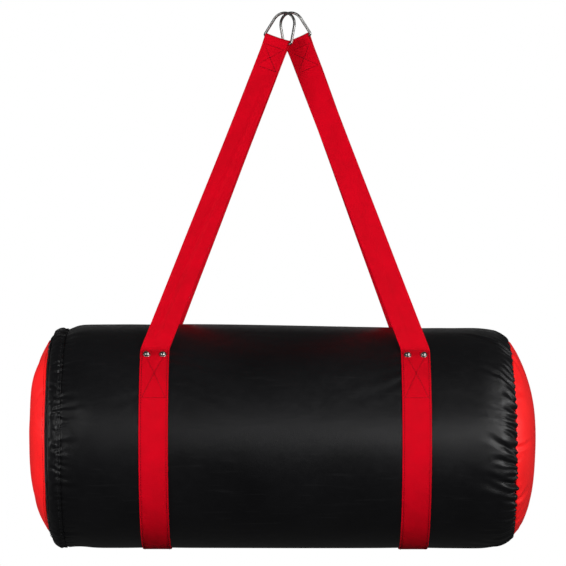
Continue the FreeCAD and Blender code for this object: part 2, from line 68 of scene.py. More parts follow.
# ---------------------------------------------------------------- sizes from the frame
skin_low, skin_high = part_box("body_panel")
AXIS_Z = (skin_low.z + skin_high.z) / 2
RADIUS = (skin_high.z - skin_low.z) / 2
LEFT_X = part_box("end_panel_left")[0].x
RIGHT_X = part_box("end_panel_right")[1].x
CAP_LEFT_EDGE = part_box("end_panel_left")[1].x - LEFT_X
ZIP_EDGE = skin_low.x - LEFT_X
FACING_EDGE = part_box("zip_facing")[1].x - LEFT_X
CAP_RIGHT_EDGE = RIGHT_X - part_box("end_panel_right")[0].x
SIDES = {"left": 1, "right": -1}  # each side with the way in X towards the bag's middle

# ---------------------------------------------------------------- sizes that the frame doesn't give
CROWN = 74 * MM  # depth of each rounded end
SKIN = 1.6 * MM
WEBBING = 2.6 * MM
STRAP_HALF = 25 * MM
ZIP_MIDDLE = 43 * MM  # from the left end
FOOT = math.radians(52)  # where a hanger leaves the bag
RIVET_DEGREES = 47.8
RIVET_ANGLE = math.radians(RIVET_DEGREES)
RIVET_SPREAD = 27.5 * MM
BOX_END = math.radians(21.9)  # lower end of the crossed box below the rivets
HEAD_LENGTH = 57 * MM  # sewn double webbing below a ring's bar
NECK = 14 * MM  # from the bar to where the two layers meet
LOOP = 3.85 * MM  # from the bar's middle to the webbing's
GIRTH_STATIONS = 330
EDGE_STITCH = 0.87  # a girth's edge line, as a share of the webbing's half width
THREAD = 0.42 * MM
STITCH_GAP = 0.9 * MM


def middle_x(node):
    low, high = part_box(node)
    return (low.x + high.x) / 2


STRAP_X = {name: middle_x(f"girth_strap_{name}") for name in SIDES}
joints = {j["name"]: j for j in frame["joints"]}


# ---------------------------------------------------------------- the bag's outline
def make_outline(samples=500):
    """The bag's outline from the left pole to the right one: x, radius, normal and length along it."""
    turn = np.linspace(0, math.pi / 2, samples)
    left_x = LEFT_X + CROWN * (1 - np.cos(turn))
    radius = RADIUS * np.sin(turn)
    middle = np.linspace(LEFT_X + CROWN, RIGHT_X - CROWN, samples)[1:-1]
    right_x = RIGHT_X - CROWN * (1 - np.cos(turn[::-1]))
    x = np.concatenate([left_x, middle, right_x])
    r = np.concatenate([radius, np.full(len(middle), RADIUS), radius[::-1]])
    length = np.concatenate([[0], np.cumsum(np.hypot(np.diff(x), np.diff(r)))])
    slope_x, slope_r = np.gradient(x, length), np.gradient(r, length)
    return {"x": x, "r": r, "nx": -slope_r, "nr": slope_x, "s": length}


OUTLINE = make_outline()
TOTAL = OUTLINE["s"][-1]


def on_outline(s, key):
    return np.interp(s, OUTLINE["s"], OUTLINE[key])


def left_s(inset):
    """Length along the outline at a distance from the left end."""
    half = len(OUTLINE["x"]) // 2
    return float(np.interp(LEFT_X + inset, OUTLINE["x"][:half], OUTLINE["s"][:half]))


def right_s(inset):
    half = len(OUTLINE["x"]) // 2
    return float(np.interp(RIGHT_X - inset, OUTLINE["x"][half:], OUTLINE["s"][half:]))


def s_at_x(x):
    return float(np.interp(x, OUTLINE["x"], OUTLINE["s"]))


def wrap(angle):
    return (angle + math.pi) % (2 * math.pi) - math.pi


def smooth(low, high, value):
    t = np.clip((value - low) / (high - low), 0, 1)
    return t * t * (3 - 2 * t)


WAVES = [
    (rng.integers(1, 9), rng.uniform(2, 16), rng.uniform(0, 6.28), rng.uniform(0.5, 1))
    for _ in range(26)
]


def lumps(x, angle):
    """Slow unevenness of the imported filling, about -1 to 1."""
    waves = (size * np.cos(turns * angle + along * x + phase) for turns, along, phase, size in WAVES)
    return sum(waves) / 6


def hump(value, middle, width):
    """A bell of height 1."""
    return np.exp(-(((value - middle) / width) ** 2))


def swell(x, angle):
    """How far the filled skin stands from the plain outline: slack on top, full underneath."""
    top = np.clip(np.sin(angle), 0, 1)
    low = np.clip(-np.sin(angle), 0, 1)
    from_left = x - LEFT_X
    from_right = RIGHT_X - x
    to_right = smooth(STRAP_X["left"], STRAP_X["right"] + 0.1, x)
    near_right_end = smooth(STRAP_X["right"] - 0.05, RIGHT_X, x)
    held = sum(hump(x, middle, 42 * MM) for middle in STRAP_X.values()) * (1 - smooth(0.8, 1.0, top))
    pressed = sum(hump(x, middle, 34 * MM) for middle in STRAP_X.values())
    away_from_zip = smooth(0, 25 * MM, np.abs(from_left - ZIP_MIDDLE))

    lift = 1.2 * top * (1 - to_right) - 5.0 * to_right * top**2 * (1 - held)
    lift = lift + (1.0 + 1.4 * near_right_end) * low
    lift = lift - 8.0 * hump(from_left, 68 * MM, 16 * MM) * top**2
    lift = lift + hump(from_left, 54 * MM, 8 * MM) * (1.4 * low + 0.8 * top)
    lift = lift + 3.0 * hump(from_left, 16 * MM, 12 * MM)
    lift = lift - 3.2 * hump(from_left, 86 * MM, 24 * MM) * (1 - top)
    lift = lift - 4.5 * hump(from_right, 61 * MM, 26 * MM)
    lift = lift - 2.2 * hump(from_right, 42 * MM, 22 * MM) * top
    lift = lift + 0.8 * (1 - pressed) + 0.9 * lumps(x, angle) * away_from_zip
    return lift * MM


# ---------------------------------------------------------------- creases
def crease(start, end, width, depth):
    """A valley with soft shoulders from start to end, both (length along the outline, angle)."""
    return {"start": start, "end": end, "width": width, "depth": depth}


def crease_depth(creases, s, angle):
    """Displacement of a grid of points by a list of creases: s is a column and angle a row."""
    total = np.zeros(np.broadcast(s, angle).shape)
    radius = on_outline(s, "r")
    bend = 1.3 * MM * np.sin(s * 70 + 9 * angle) + 0.5 * MM * np.sin(s * 190 - 17 * angle)
    for fold in creases:
        (start_s, start_angle), (end_s, end_angle) = fold["start"], fold["end"]
        reach = 6 * fold["width"] + 0.2 * abs(end_s - start_s)
        rows = (s[:, 0] > min(start_s, end_s) - reach) & (s[:, 0] < max(start_s, end_s) + reach)
        span = 0.7 * abs(end_angle - start_angle) + (reach + 4 * MM) / (0.4 * RADIUS)
        columns = np.abs(wrap(angle[0] - (start_angle + end_angle) / 2)) < span
        if not rows.any() or not columns.any():
            continue
        window = np.ix_(rows, columns)
        run_s = end_s - start_s
        run_v = (end_angle - start_angle) * RADIUS
        ds = s[rows] - start_s
        dv = wrap(angle[:, columns] - start_angle) * radius[rows] + bend[window]
        t = np.clip((ds * run_s + dv * run_v) / (run_s**2 + run_v**2), -0.15, 1)
        onward = np.clip(t, 0, 1)
        away = np.hypot(ds - t * run_s, dv - t * run_v) / (fold["width"] * (0.65 + 0.9 * onward))
        fade = (1 - onward) ** 1.1
        total[window] -= fold["depth"] * fade * (hump(away, 0, 1) - 0.5 * hump(away, 1.9, 0.9))
    return total


def seam_creases(count, at, toward, lengths, widths, depths, lean=0.3, front=0.0, rise=0.0):
    """Creases that run from a seam at the outline length at, toward +1 or -1, jittered round the bag.
    Those at the front are deeper by the share front, and all of them climb by rise."""
    made = []
    for number in range(count):
        angle = (number + rng.uniform(-0.45, 0.45)) / count * 2 * math.pi
        strong = 1 + front * math.exp(-((wrap(angle) / 0.85) ** 2))
        length = rng.uniform(*lengths) * rng.uniform(0.55, 1.35) * strong**0.5
        drift = (rise + rng.uniform(-lean, lean)) * length / RADIUS
        end = (at + toward * length, angle + drift)
        made.append(crease((at, angle), end, rng.uniform(*widths), rng.uniform(*depths) * strong))
    return made


def tension_creases():
    """Folds that run from each rivet pair over the skin, where the sling lifts it."""
    made = []
    for name, side in SIDES.items():
        for rivet_degrees, down in ((RIVET_DEGREES, -1), (180 - RIVET_DEGREES, 1)):
            for number in range(5):
                inner = 1 if number < 4 else -1
                x = STRAP_X[name] + side * inner * (STRAP_HALF + 2 * MM)
                start_angle = math.radians(rivet_degrees + down * (number * 7 - 4))
                length = rng.uniform(0.10, 0.20) * (1 if inner > 0 else 0.5)
                slope = rng.uniform(0.15, 0.75)
                start = (s_at_x(x), start_angle)
                end = (s_at_x(x + side * inner * length), start_angle + down * slope * length / RADIUS)
                made.append(crease(start, end, rng.uniform(6, 10) * MM, rng.uniform(0.25, 0.7) * MM))
    return made


def stray_creases(count):
    """Shallow handling marks all over the skin."""
    made = []
    for _ in range(count):
        s = rng.uniform(left_s(90 * MM), right_s(110 * MM))
        angle = rng.uniform(0, 2 * math.pi)
        length = rng.uniform(0.04, 0.13)
        heading = rng.uniform(-1.2, 1.2)
        end = (s + length * math.cos(heading), angle + length * math.sin(heading) / RADIUS)
        made.append(crease((s, angle), end, rng.uniform(5, 10) * MM, rng.uniform(0.08, 0.22) * MM))
    return made


# ---------------------------------------------------------------- meshes
def mesh_object(name, points, faces, uvs=None, flat=False):
    mesh = bpy.data.meshes.new(name)
    mesh.from_pydata(np.asarray(points).tolist(), [], faces)
    if uvs is not None:
        layer = mesh.uv_layers.new(name="UVMap")
        corner_vertex = np.zeros(len(mesh.loops), int)
        mesh.loops.foreach_get("vertex_index", corner_vertex)
        layer.data.foreach_set("uv", np.asarray(uvs, np.float32)[corner_vertex].ravel())
    mesh.update()
    if not flat:
        mesh.shade_smooth()
    made = bpy.data.objects.new(name, mesh)
    bpy.context.scene.collection.objects.link(made)
    return made


def grid_faces(rows, columns, closed_rows=False, first=0, flip=False):
    """Quads of a grid whose vertices are numbered row by row from first, each row a closed ring."""
    i = np.arange(rows if closed_rows else rows - 1)[:, None]
    j = np.arange(columns)[None, :]
    i2, j2 = (i + 1) % rows, (j + 1) % columns
    corners = [i * columns + j, i2 * columns + j, i2 * columns + j2, i * columns + j2]
    quads = (np.stack(corners, -1) + first).reshape(-1, 4)
    return (quads[:, ::-1] if flip else quads).tolist()


def ring_points(s, angle, lift):
    """Points at a length along the outline and an angle, lifted along the outline's normal."""
    x = on_outline(s, "x") + on_outline(s, "nx") * lift
    r = np.maximum(on_outline(s, "r") + on_outline(s, "nr") * lift, 0.0)
    return np.stack([x + 0 * angle, -r * np.cos(angle), AXIS_Z + r * np.sin(angle)], -1)


def lathe_shell(name, s_values, columns, lift, thickness):
    """A closed shell round the bag's axis, from its outer lift to thickness below it.
    Where it starts or ends at a pole, the ends are closed by small fans."""
    angle = np.linspace(0, 2 * math.pi, columns, endpoint=False)[None, :]
    s = np.asarray(s_values)[:, None]
    outer_lift = lift(s, angle) + 0 * angle
    outer = ring_points(s, angle, outer_lift)
    inner = ring_points(s, angle, outer_lift - thickness)
    rows = len(s_values)
    total = rows * columns
    points = np.concatenate([outer.reshape(-1, 3), inner.reshape(-1, 3)])
    faces = grid_faces(rows, columns) + grid_faces(rows, columns, first=total, flip=True)
    column = np.arange(columns)
    poles = []
    for row, at_start in ((0, True), (rows - 1, False)):
        a, b = row * columns + column, row * columns + (column + 1) % columns
        if on_outline(s_values[row], "r") < 4 * MM:
            for sheet, shift, turn in ((outer, 0, at_start), (inner, total, not at_start)):
                centre = len(points) + len(poles)
                poles.append(sheet[row].mean(0))
                pairs = zip((a + shift).tolist(), (b + shift).tolist())
                faces += [(centre, q, p) if turn else (centre, p, q) for p, q in pairs]
        else:
            rim = np.stack([a, b, b + total, a + total], -1)
            faces += (rim if at_start else rim[:, ::-1]).tolist()
    if poles:
        points = np.concatenate([points, np.array(poles)])
    return face_outward(mesh_object(name, points, faces))


def face_outward(piece):
    """Turns all faces of a closed mesh outwards."""
    work = bmesh.new()
    work.from_mesh(piece.data)
    bmesh.ops.recalc_face_normals(work, faces=work.faces)
    work.to_mesh(piece.data)
    work.free()
    return piece


def edge_roll(s, edge, toward, reach, drop):
    """A rounded turn-down over the last few millimetres before an edge."""
    distance = np.clip((edge - s) * toward, 0, reach)
    t = 1 - distance / reach
    return -drop * (1 - np.sqrt(np.maximum(1 - t * t, 0)))


# ---------------------------------------------------------------- materials
def new_material(name, base, roughness, metallic=0.0, **sockets):
    material = bpy.data.materials.new(name)
    material.use_nodes = True
    shader = material.node_tree.nodes["Principled BSDF"]
    shader.inputs["Base Color"].default_value = (*base, 1)
    shader.inputs["Roughness"].default_value = roughness
    shader.inputs["Metallic"].default_value = metallic
    for socket, value in sockets.items():
        shader.inputs[socket.replace("_", " ")].default_value = value
    return material, material.node_tree, shader


def node(tree, kind, inputs=None, **settings):
    made = tree.nodes.new(kind)
    for key, value in settings.items():
        setattr(made, key, value)
    for key, value in (inputs or {}).items():
        if isinstance(value, bpy.types.NodeSocket):
            tree.links.new(value, made.inputs[key])
        else:
            made.inputs[key].default_value = value
    return made


def ramp(tree, factor, stops):
    made = node(tree, "ShaderNodeValToRGB", {"Fac": factor})
    elements = made.color_ramp.elements
    while len(elements) < len(stops):
        elements.new(0.5)
    for element, (place, colour) in zip(elements, stops):
        element.position = place
        element.color = (*colour, 1)
    return made.outputs["Color"]


def value_range(tree, factor, low, high):
    inputs = {"Value": factor, "To Min": low, "To Max": high}
    return node(tree, "ShaderNodeMapRange", inputs).outputs["Result"]


def bump(tree, height, distance, strength, normal=None):
    inputs = {"Height": height, "Distance": distance, "Strength": strength}
    if normal is not None:
        inputs["Normal"] = normal
    return node(tree, "ShaderNodeBump", inputs).outputs["Normal"]


def object_place(tree):
    return node(tree, "ShaderNodeTexCoord").outputs["Object"]


def stretched(tree, place, scale):
    return node(tree, "ShaderNodeMapping", {"Vector": place, "Scale": scale}).outputs["Vector"]


def noise(tree, place, scale, detail, **more):
    inputs = {"Vector": place, "Scale": scale, "Detail": detail, **more}
    return node(tree, "ShaderNodeTexNoise", inputs).outputs["Fac"]


def calculate(tree, operation, *values):
    return node(tree, "ShaderNodeMath", dict(enumerate(values)), operation=operation).outputs["Value"]


def mix_colour(tree, factor, first, second, blend="MIX"):
    inputs = {"Fac": factor, "Color1": first, "Color2": second}
    return node(tree, "ShaderNodeMixRGB", inputs, blend_type=blend).outputs["Color"]


def connect(tree, shader, colour, roughness, normal):
    """Links what is given to the shader's base colour, roughness and normal."""
    for socket, value in (("Base Color", colour), ("Roughness", roughness), ("Normal", normal)):
        if value is not None:
            tree.links.new(value, shader.inputs[socket])


def vinyl(name, dark, light, rough):
    """Coated fabric: pebbled grain, faint cloth backing, rubbed patches and fine scratches."""
    material, tree, shader = new_material(name, light, rough, Specular_IOR_Level=0.5)
    place = object_place(tree)
    cloud = noise(tree, place, 6.0, 6.0, Roughness=0.6)
    fine = noise(tree, place, 90.0, 4.0)
    pebble = node(tree, "ShaderNodeTexVoronoi", {"Vector": place, "Scale": 720.0, "Randomness": 1.0})
    pores = noise(tree, place, 1500.0, 2.0)
    scratch = noise(tree, stretched(tree, place, (3.0, 60.0, 42.0)), 5.0, 8.0)
    marks = ramp(tree, scratch, [(0.60, (0, 0, 0)), (0.72, (1, 1, 1))])
    colour = ramp(tree, cloud, [(0.3, dark), (0.7, light)])
    rubbed = (*[c * 1.9 + 0.01 for c in light], 1)
    colour = mix_colour(tree, value_range(tree, marks, 0.0, 0.16), colour, rubbed)
    gloss = calculate(tree, "MULTIPLY", cloud, fine)
    normal = bump(tree, pebble.outputs["Distance"], 0.00035, 0.16)
    normal = bump(tree, pores, 0.00012, 0.35, normal)
    normal = bump(tree, fine, 0.0006, 0.12, normal)
    connect(tree, shader, colour, value_range(tree, gloss, rough - 0.08, rough + 0.28), normal)
    return material


def webbing(name, dark, light):
    """Woven belt: cross ribs with a twill step from its own width and length, fuzz and soiling; its
    colour follows the weave's height, darker in the low grooves as painted shade.
    """
    rough = 0.78
    material, tree, shader = new_material(name, light, rough, Specular_IOR_Level=0.12)
    uv = node(tree, "ShaderNodeUVMap", uv_map="UVMap").outputs["UV"]
    split = node(tree, "ShaderNodeSeparateXYZ", {"Vector": uv})
    across, along = split.outputs["X"], split.outputs["Y"]

    def turns(socket, period):
        return calculate(tree, "MULTIPLY", socket, 2 * math.pi / period)

    ribs = calculate(tree, "SINE", calculate(tree, "ADD", turns(along, 0.0017), turns(across, 0.0052)))
    warp = calculate(tree, "SINE", turns(across, 0.0013))
    weave = calculate(tree, "ADD", calculate(tree, "MULTIPLY", ribs, warp), ribs)
    fuzz = noise(tree, stretched(tree, uv, (1.0, 0.25, 1.0)), 2600.0, 3.0)
    soil = noise(tree, uv, 28.0, 5.0)
    # Painted shade: the colour is darker where the weave lies low, in its grooves, and lighter on its
    # raised ribs.
    colour = ramp(tree, value_range(tree, weave, 0.5, 1.0), [(0.35, dark), (0.8, light)])
    tint = ramp(tree, soil, [(0.25, (0.72, 0.66, 0.66)), (0.65, (1, 1, 1))])
    colour = mix_colour(tree, 0.55, colour, tint, "MULTIPLY")
    normal = bump(tree, fuzz, 0.00012, 0.6, bump(tree, weave, 0.00022, 0.6))
    connect(tree, shader, colour, value_range(tree, soil, rough - 0.1, rough + 0.1), normal)
    return material


def cloth(name, dark, light, scale=900.0):
    """Plain woven or felted cloth that needs no map."""
    rough = 0.85
    material, tree, shader = new_material(name, light, rough)
    place = object_place(tree)
    fibre = noise(tree, place, scale, 4.0)
    colour = ramp(tree, noise(tree, place, 25.0, 5.0), [(0.3, dark), (0.7, light)])
    roughness = value_range(tree, fibre, rough - 0.15, rough + 0.1)
    connect(tree, shader, colour, roughness, bump(tree, fibre, 0.0004, 0.8))
    return material


def metal(name, dark, light, rough, brushed=False):
    """Plated metal with hazy patches, pits and fine scratches."""
    material, tree, shader = new_material(name, light, rough, metallic=1.0)
    place = object_place(tree)
    haze = noise(tree, place, 180.0, 6.0)
    lines = noise(tree, stretched(tree, place, (1.0, 1.0, 9.0 if brushed else 3.0)), 900.0, 5.0)
    colour = ramp(tree, haze, [(0.35, dark), (0.65, light)])
    roughness = value_range(tree, haze, rough - 0.06, rough + 0.16)
    connect(tree, shader, colour, roughness, bump(tree, lines, 0.00008, 0.14))
    return material


def thread_material(name, colour):
    material, tree, shader = new_material(name, colour, 0.6, Specular_IOR_Level=0.3)
    ply = noise(tree, object_place(tree), 2200.0, 2.0)
    darker = [c * 0.6 for c in colour]
    shade = ramp(tree, ply, [(0.35, darker), (0.65, colour)])
    connect(tree, shader, shade, None, bump(tree, ply, 0.0002, 0.6))
    return material


BLACK_VINYL = vinyl("black_vinyl", (0.0012, 0.0012, 0.0015), (0.003, 0.003, 0.0035), 0.38)
RED_VINYL = vinyl("red_vinyl", (0.70, 0.006, 0.008), (0.86, 0.012, 0.012), 0.42)
# The darker of the two reds is painted shade for the weave's low grooves.
RED_WEBBING = webbing("red_webbing", (0.30, 0.0, 0.004), (0.62, 0.0, 0.010))
PATCH_CLOTH = cloth("patch_cloth", (0.012, 0.012, 0.012), (0.03, 0.03, 0.03))
ZIP_CLOTH = cloth("zip_cloth", (0.02, 0.02, 0.02), (0.045, 0.045, 0.047), 1600.0)
FOAM = cloth("foam", (0.35, 0.35, 0.33), (0.5, 0.5, 0.48), 500.0)
FILLING = cloth("filling", (0.18, 0.17, 0.16), (0.42, 0.4, 0.36), 260.0)
COIL = metal("zip_coil", (0.09, 0.09, 0.09), (0.16, 0.16, 0.165), 0.38)
NICKEL = metal("nickel", (0.40, 0.39, 0.37), (0.60, 0.59, 0.56), 0.2)
RING_STEEL = metal("ring_steel", (0.40, 0.40, 0.39), (0.62, 0.61, 0.59), 0.24, brushed=True)
ZIP_METAL = metal("zip_metal", (0.30, 0.30, 0.30), (0.46, 0.46, 0.46), 0.3)
RED_THREAD = thread_material("red_thread", (0.10, 0.0, 0.003))
BLACK_THREAD = thread_material("black_thread", (0.02, 0.02, 0.021))


def dress(piece, material, body="bag", replaces=()):
    piece.data.materials.clear()
    piece.data.materials.append(material)
    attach(piece, body)
    if replaces:
        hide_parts(*replaces)
    return piece


# ---------------------------------------------------------------- skin, facing, end panels
LEFT_SEAM_S = left_s(FACING_EDGE)
ZIP_S = left_s(ZIP_EDGE)
RIGHT_SEAM_S = right_s(CAP_RIGHT_EDGE - 3.5 * MM)
COLUMNS = 560


def spaced(start, end, step):
    return np.linspace(start, end, max(3, int(abs(end - start) / step)))


def mm(low, high):
    return low * MM, high * MM


def make_skin():
    """The black skin, slack on top, gathered at both seams and pulled by the slings."""

    def gathers(count, lengths, widths, depths, **more):
        return seam_creases(count, RIGHT_SEAM_S, -1, lengths, mm(*widths), mm(*depths), **more)

    def puckers(count, lengths, widths, depths):
        return seam_creases(count, LEFT_SEAM_S, 1, lengths, mm(*widths), mm(*depths))

    creases = gathers(70, (0.008, 0.02), (1.6, 2.6), (0.3, 0.9))
    creases += gathers(62, (0.036, 0.08), (3.1, 4.8), (1.9, 3.5), lean=0.25, front=0.5, rise=0.4)
    creases += gathers(15, (0.065, 0.115), (6.0, 9.0), (1.2, 2.6), lean=0.3, front=0.6, rise=0.4)
    creases += puckers(58, (0.014, 0.045), (2.2, 4.4), (0.6, 1.6))
    creases += puckers(17, (0.03, 0.09), (4.5, 8), (0.6, 1.5))
    creases += tension_creases() + stray_creases(36)

    def lift(s, angle):
        roll = edge_roll(s, RIGHT_SEAM_S, 1, 9 * MM, 2.4 * MM)
        dip = -1.0 * MM * hump(s, LEFT_SEAM_S, 3.5 * MM)
        return swell(on_outline(s, "x"), angle) + crease_depth(creases, s, angle) + roll + dip

    by_left, by_right, by_edge = LEFT_SEAM_S + 0.05, RIGHT_SEAM_S - 0.14, RIGHT_SEAM_S - 0.012
    parts = [
        spaced(ZIP_S, by_left, 2.2 * MM),
        spaced(by_left, by_right, 4.2 * MM),
        spaced(by_right, by_edge, 2.2 * MM),
        spaced(by_edge, RIGHT_SEAM_S, 1.3 * MM),
    ]
    skin = lathe_shell("skin", np.unique(np.concatenate(parts)), COLUMNS, lift, SKIN)
    dress(skin, BLACK_VINYL, replaces=["body_panel"])
    return lift


def make_facing(skin_lift):
    """The puckered band over the skin's left edge, sewn down along its right side."""
    width = LEFT_SEAM_S - ZIP_S
    sewn_edge = LEFT_SEAM_S - 2 * MM
    creases = seam_creases(64, sewn_edge, -1, (0.010, 0.026), mm(1.8, 3.6), mm(0.8, 2.3), 0.8)
    creases += seam_creases(38, ZIP_S, 1, (0.008, 0.02), mm(2.0, 4.0), mm(0.4, 1.3), 0.8)

    def lift(s, angle):
        across = (s - ZIP_S) / width
        puff = 1.3 * MM * np.sin(math.pi * np.clip(across, 0, 1)) ** 0.7
        sewn = -1.3 * MM * hump(s, LEFT_SEAM_S - 3 * MM, 1.6 * MM)
        roll = edge_roll(s, ZIP_S, -1, 3 * MM, 1.2 * MM)
        base = skin_lift(s, angle) + SKIN * 1.25
        return base + puff + sewn + roll + crease_depth(creases, s, angle)

    s_values = spaced(ZIP_S - 0.4 * MM, LEFT_SEAM_S + 1.5 * MM, 1.15 * MM)
    facing = lathe_shell("zip_facing_band", s_values, COLUMNS, lift, SKIN * 0.9)
    dress(facing, BLACK_VINYL, replaces=["zip_facing"])
    return lift


def make_end_panel(side):
    """A crowned red end, gathered a little at its seam."""
    left = side == "left"
    seam = left_s(CAP_LEFT_EDGE) if left else RIGHT_SEAM_S
    toward = -1 if left else 1
    shallow = mm(0.25, 0.7) if left else mm(0.4, 1.3)
    deep = mm(0.4, 1.0) if left else mm(1.5, 3.4)
    creases = seam_creases(40 if left else 52, seam, toward, (0.012, 0.04), mm(2.4, 5.0), shallow, 0.6)
    creases += seam_creases(13, seam, toward, (0.045, 0.12), mm(4, 7), deep, 0.8)

    def lift(s, angle):
        x = on_outline(s, "x")
        near = smooth(0.03, 0.15, on_outline(s, "r"))
        roll = edge_roll(s, seam, -toward, 7 * MM, 2.2 * MM)
        dimple = 1.82 * MM * (lumps(x * 3 + 1, angle) * near - 0.5)
        return swell(x, angle) * near + roll + dimple + crease_depth(creases, s, angle) * near

    pole = 3 * MM if left else TOTAL - 3 * MM
    dense = seam + toward * 30 * MM
    s_values = np.unique(np.concatenate([spaced(pole, dense, 4 * MM), spaced(dense, seam, 1.6 * MM)]))
    panel = lathe_shell(f"end_{side}", s_values, COLUMNS // 2, lift, SKIN)
    dress(panel, RED_VINYL, replaces=[f"end_panel_{side}"])
    return lift


def make_insides():
    """The foam liner under the skin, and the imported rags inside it, both following the skin's slack."""
    low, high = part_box("foam_liner")
    gauge = 12 * MM
    gap = 9.5 * MM

    def under_skin(x, angle):
        return np.minimum(swell(x, angle), 0) - gap

    def liner_lift(s, angle):
        x = on_outline(s, "x")
        return under_skin(x, angle) + 0.4 * MM * lumps(x * 6, angle * 5)

    def filling_lift(s, angle):
        x = on_outline(s, "x")
        in_liner = smooth(low.x - 0.02, low.x, x) * smooth(-high.x - 0.02, -high.x, -x)
        bed = 1.5 * MM + (1.5 * MM + gauge) * in_liner
        return under_skin(x, angle) - bed + 1.2 * MM * lumps(x * 4, angle * 3)

    liner = lathe_shell("liner", spaced(s_at_x(low.x), s_at_x(high.x), 8 * MM), 140, liner_lift, gauge)
    dress(liner, FOAM, replaces=["foam_liner"])
    filling = lathe_shell("filling", spaced(3 * MM, TOTAL - 3 * MM, 9 * MM), 140, filling_lift, 6 * MM)
    dress(filling, FILLING, replaces=["fill_core"])


# ---------------------------------------------------------------- zip
def make_zip_tapes():
    """The zip's two tapes, true circles so that the slider runs clear of them."""
    split = (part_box("zip_tape_end_side")[1].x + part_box("zip_tape_body_side")[0].x) / 2 - LEFT_X
    spans = {
        "zip_tape_end_side": (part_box("zip_tape_end_side")[0].x - LEFT_X, split - 0.2 * MM),
        "zip_tape_body_side": (split + 0.2 * MM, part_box("zip_tape_body_side")[1].x - LEFT_X),
    }

    def lift(s, angle):
        return swell(on_outline(s, "x"), 0) - SKIN - 0.9 * MM + 0.1 * MM * np.sin(angle * 90)

    for name, (first, last) in spans.items():
        s_values = spaced(left_s(first), left_s(last), 1.2 * MM)
        tape = lathe_shell(name.removeprefix("zip_"), s_values, COLUMNS // 2, lift, 0.8 * MM)
        dress(tape, ZIP_CLOTH, replaces=[name])


def tube_along(path, radius, sides):
    """Vertices and faces of a round tube along a closed path."""
    tangent = np.roll(path, -1, 0) - np.roll(path, 1, 0)
    tangent /= np.linalg.norm(tangent, axis=1)[:, None]
    helper = np.tile([1.0, 0.13, 0.07], (len(path), 1))
    first = np.cross(tangent, helper)
    first /= np.linalg.norm(first, axis=1)[:, None]
    second = np.cross(tangent, first)
    turn = np.linspace(0, 2 * math.pi, sides, endpoint=False)
    around = first[:, None] * np.cos(turn)[None, :, None] + second[:, None] * np.sin(turn)[None, :, None]
    points = (path[:, None] + radius * around).reshape(-1, 3)
    return points, grid_faces(len(path), sides, closed_rows=True, flip=True)


def make_zip_coils():
    """Two rows of coiled monofilament round the left end."""
    wire = 0.42 * MM
    pitch = 1.75 * MM
    for name in ("zip_coil_end_side", "zip_coil_body_side"):
        low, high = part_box(name)
        coil_radius = (high.x - low.x) / 2
        centre_x = (high.x + low.x) / 2
        ring = (high.z - low.z) / 2 - coil_radius
        loops = int(2 * math.pi * ring / pitch)
        turn = np.linspace(0, 2 * math.pi, loops * 9, endpoint=False)
        phase = turn * loops + (math.pi if name.endswith("body_side") else 0)
        out = ring + (coil_radius - wire) * np.cos(phase)
        along = centre_x + (coil_radius - wire) * np.sin(phase)
        path = np.stack([along, -out * np.cos(turn), AXIS_Z + out * np.sin(turn)], -1)
        points, faces = tube_along(path, wire, 5)
        piece = mesh_object(name.replace("zip_coil", "coil"), points, faces)
        dress(piece, COIL, replaces=[name])


# ---------------------------------------------------------------- slings
def unit(v):
    return v / np.linalg.norm(v)


def ring_frame(name):
    """Middle of a ring's bar, and the directions along the bar to +X, up its hanger and to the front."""
    joint = joints[f"ring_{name}_fold"]
    pivot = np.array(joint["pos_m"], float)
    bar = unit(np.array(joint["axis"], float))
    if bar[0] < 0:
        bar = -bar
    vertices = np.array([v.co for v in frame["nodes"][f"d_ring_{name}"].data.vertices])
    up = vertices.mean(0) - pivot
    up = unit(up - bar * (up @ bar))
    front = np.cross(bar, up)
    if front[1] > 0:
        front = -front
    return pivot, bar, up, front


def surface_point(x, angle, lift):
    """A point above the girth of the bag."""
    r = RADIUS + swell(x, angle) + lift
    return np.stack([x + 0 * angle, -r * np.cos(angle), AXIS_Z + r * np.sin(angle)], -1)


def sling_stations(name):
    """Middle and half-width vector of the webbing at each station of its closed run."""
    pivot, bar, up, front = ring_frame(name)
    along_x = np.array([STRAP_HALF, 0, 0])
    across = bar * STRAP_HALF
    girth = np.linspace(FOOT, -math.pi - FOOT, GIRTH_STATIONS)
    girth_middle = surface_point(STRAP_X[name], girth, 0.4 * MM + WEBBING / 2)
    girth_half = np.tile(along_x, (len(girth), 1))
    head_low = pivot - up * HEAD_LENGTH
    neck = pivot - up * NECK
    sheet = front * WEBBING / 2

    def run(start, end, half_start, half_end):
        count = max(3, int(np.linalg.norm(end - start) / (3 * MM)))
        t = np.linspace(0, 1, count)[1:-1, None]
        ease = t * 0.35 + 0.65 * smooth(0, 1, t)
        return start + (end - start) * t, half_start + (half_end - half_start) * ease

    turn = np.linspace(-1.35, math.pi + 1.35, 26)[4:-4, None]
    loop = pivot + LOOP * (-np.cos(turn) * front + np.sin(turn) * up)
    pieces = [
        (girth_middle, girth_half),
        run(girth_middle[-1], head_low - sheet, along_x, across),
        run(head_low - sheet, neck - sheet, across, across),
        (loop, np.tile(across, (len(loop), 1))),
        run(neck + sheet, head_low + sheet, across, across),
        run(head_low + sheet, girth_middle[0], across, along_x),
    ]
    middle = np.concatenate([p[0] for p in pieces])
    half = np.concatenate([p[1] for p in pieces])
    for _ in range(3):
        middle = (np.roll(middle, 1, 0) + 2 * middle + np.roll(middle, -1, 0)) / 4
        half = (np.roll(half, 1, 0) + 2 * half + np.roll(half, -1, 0)) / 4
    return middle, half


